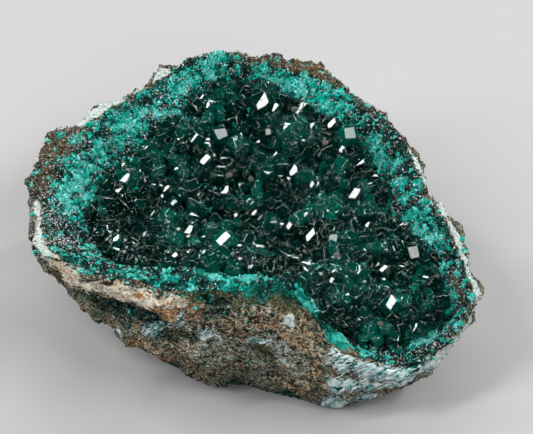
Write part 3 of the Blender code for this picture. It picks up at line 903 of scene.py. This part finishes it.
crystal_skin, tree, shader = new_material("dioptase_glass")
where = node(tree, "TexCoord").outputs["Object"]
tint_node = node(tree, "Attribute", {"attribute_name": "tint"})
tint = tint_node.outputs["Color"]
veil = noise_at(tree, where, 1.2, 3)
veiled = mixed(tree, between(tree, veil, 0.56, 0.70, 0, 0.6), tint, (0.02, 0.50, 0.36))
tree.links.new(veiled, shader.inputs["Base Color"])
tree.links.new(between(tree, veil, 0.45, 0.8, 0.012, 0.08), shader.inputs["Roughness"])
shader.inputs["Transmission Weight"].default_value = 0.88
shader.inputs["IOR"].default_value = DIOPTASE_IOR
shader.inputs["Specular IOR Level"].default_value = 0.85
swirl = node(tree, "TexNoise", Vector=where, Scale=1000 / 2.2, Detail=1.0).outputs["Color"]
shifted = node(tree, "VectorMath", {"operation": "MULTIPLY_ADD"})
set_or_link(tree, shifted.inputs[0], swirl)
set_or_link(tree, shifted.inputs[1], (STEP_WANDER * MM,) * 3)
set_or_link(tree, shifted.inputs[2], where)
steps = node(
    tree, "TexVoronoi", {"feature": "DISTANCE_TO_EDGE"},
    Vector=shifted.outputs[0], Scale=1000 / STEP_SIZE,
)
ridge = between(tree, steps.outputs["Distance"], 0.0, STEP_WIDTH / STEP_SIZE, 1, 0)
ridge = maths(tree, "MULTIPLY", ridge, between(tree, noise_at(tree, where, 2.4, 1), 0.48, 0.55))
ridge = maths(tree, "MULTIPLY", ridge, tint_node.outputs["Alpha"])
crystal_bump = node(tree, "Bump", Strength=0.85, Distance=0.12 * MM, Height=ridge)
tree.links.new(crystal_bump.outputs["Normal"], shader.inputs["Normal"])
absorbing = node(tree, "VolumeAbsorption", Color=(0.03, 0.62, 0.45), Density=ABSORPTION)
tree.links.new(absorbing.outputs["Volume"], tree.nodes["Material Output"].inputs["Volume"])
for grown in (large, small):
    grown.data.materials.append(crystal_skin)

bpy.ops.object.select_all(action="DESELECT")
for grown in (large, small, bed):
    grown.select_set(True)
bpy.context.view_layer.objects.active = bed
bpy.ops.object.join()
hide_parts("dioptase_crust")
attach(bed, "root")

# The stray grains in the hollow
# Clusters of turquoise splinters that settled on the crystals, each about a millimetre across, and a
# dusting of single grains in the rim's colours. Sizes are about half a grain's width in mm.
CLUSTER_PLACES = (
    (-3.7, 24.7), (-10.0, 9.2), (-9.0, 2.8), (-0.6, 27.5), (17.5, 1.5), (17.6, -24.0),
    (34.0, -21.8), (18.2, -20.0), (30.5, -27.0), (-25.0, 3.0), (24.0, -14.0), (-7.7, 8.7),
    (-18.8, -24.0),
)
CLUSTER_EACH, CLUSTER_SIZE, CLUSTER_SPREAD = 10, (0.25, 0.5), 0.28
DUST_COUNT, DUST_SIZE, DUST_SPREAD = 1300, (0.12, 0.32), 0.15
# The white dust grains are partly painted glints.
DUST_KINDS = {"white_glint_grain": 0.42, "teal": 0.30, "turquoise": 0.22, "rust": 0.06}
shown = bpy.context.evaluated_depsgraph_get()
surfaces = (BVHTree.FromObject(bed, shown), BVHTree.FromObject(rock, shown))
crust_spots = numbers(bed.data.polygons, "center", 3).astype(float) / MM
crust_normals = numbers(bed.data.polygons, "normal", 3).astype(float)


def top_of_crust(x, y):
    """Where a line straight down at x, y in mm meets the crystals, or the rock where it misses them."""
    start = Vector((x, y, ABOVE_ALL)) * MM
    met = [surface.ray_cast(start, Vector((0, 0, -1)))[0] for surface in surfaces]
    return np.array(next(spot for spot in met if spot is not None)) / MM


cluster_places = np.repeat([top_of_crust(x, y) for x, y in CLUSTER_PLACES], CLUSTER_EACH, axis=0)
cluster_places = cluster_places + chance.normal(0, CLUSTER_SPREAD, cluster_places.shape)
dust_odds = numbers(bed.data.polygons, "area", 1).astype(float)
dust_odds *= soft_step(0.1, 0.5, crust_normals[:, 2])
dusty = chance.choice(len(crust_spots), DUST_COUNT, p=dust_odds / dust_odds.sum())
dust_kinds = chance.choice(list(DUST_KINDS), DUST_COUNT, p=list(DUST_KINDS.values()))
dust_places = crust_spots[dusty] + chance.normal(0, DUST_SPREAD, (DUST_COUNT, 3))
stray_places = np.vstack((cluster_places, dust_places))
stray_kinds = ["turquoise"] * len(cluster_places) + list(dust_kinds)
stray_tints = np.array([SPLINTER_TINTS[kind] for kind in stray_kinds])
stray_sizes = np.concatenate(
    (chance.uniform(*CLUSTER_SIZE, len(cluster_places)), chance.uniform(*DUST_SIZE, DUST_COUNT))
)
strays = joined_copies(
    "stray_grains", splinter_pattern, stray_places, random_turns(len(stray_places)), stray_sizes,
    np.clip(stray_tints * chance.uniform(0.5, 1.3, (len(stray_places), 1)), 0, 0.9),
)
strays.data.materials.append(druse_skin)
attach(strays, "root")

# The painted glint discs in the hollow
# Seven flat, smooth discs, a little over a millimetre wide and dull pinkish, that lie on the crystals,
# turned towards the camera: painted highlights that stand for blurred glints, not mineral grains.
GLINT_DISC_TINT = (0.100, 0.086, 0.073)
GLINT_DISC_PLACES = (  # x, y, radius in mm
    (9.5, 27.0, 0.74), (16.2, 17.6, 0.72), (18.2, -11.5, 0.72), (-4.9, 12.3, 0.78),
    (-0.1, 11.7, 0.62), (39.5, -16.8, 0.70), (27.1, -30.4, 0.66),
)
bpy.ops.object.select_all(action="DESELECT")
bpy.ops.mesh.primitive_uv_sphere_add(segments=18, ring_count=10, radius=1)
glint_disc = bpy.context.object
bpy.ops.object.mode_set(mode="EDIT")
bpy.ops.transform.resize(value=(1, 0.92, 0.5))
bpy.ops.object.mode_set(mode="OBJECT")
glint_disc.data.shade_smooth()
glint_disc_pattern = glint_disc.data.copy()
bpy.data.objects.remove(glint_disc)
upward = (to_camera + Vector((0, 0, 0.5))).normalized()
facing = np.array(upward.to_track_quat("Z", "Y").to_matrix())
glint_discs = joined_copies(
    "painted_glint_discs", glint_disc_pattern,
    np.array([top_of_crust(x, y) + 0.35 * radius * facing[:, 2] for x, y, radius in GLINT_DISC_PLACES]),
    np.array([facing] * len(GLINT_DISC_PLACES)), np.array([radius for _, _, radius in GLINT_DISC_PLACES]),
    np.array(GLINT_DISC_TINT) * chance.uniform(0.8, 1.2, (len(GLINT_DISC_PLACES), 1)),
)
# The discs' dull pinkish colour is a painted blurred glint.
glint_disc_skin, tree, shader = new_material("painted_glint_disc")
cloud = noise_at(tree, node(tree, "TexCoord").outputs["Object"], 0.6, 3)
shade = ramp(tree, cloud, (0.3, (0.55, 0.6, 0.6)), (0.7, (1.0, 0.95, 0.9)))
tint = node(tree, "Attribute", {"attribute_name": "tint"}).outputs["Color"]
tree.links.new(mixed(tree, 1.0, tint, shade, "MULTIPLY"), shader.inputs["Base Color"])
tree.links.new(maths(tree, "MULTIPLY_ADD", cloud, 0.3, 0.35), shader.inputs["Roughness"])
glint_disc_bump = node(tree, "Bump", Strength=0.4, Distance=0.1 * MM, Height=cloud)
tree.links.new(glint_disc_bump.outputs["Normal"], shader.inputs["Normal"])
glint_discs.data.materials.append(glint_disc_skin)
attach(glint_discs, "root")
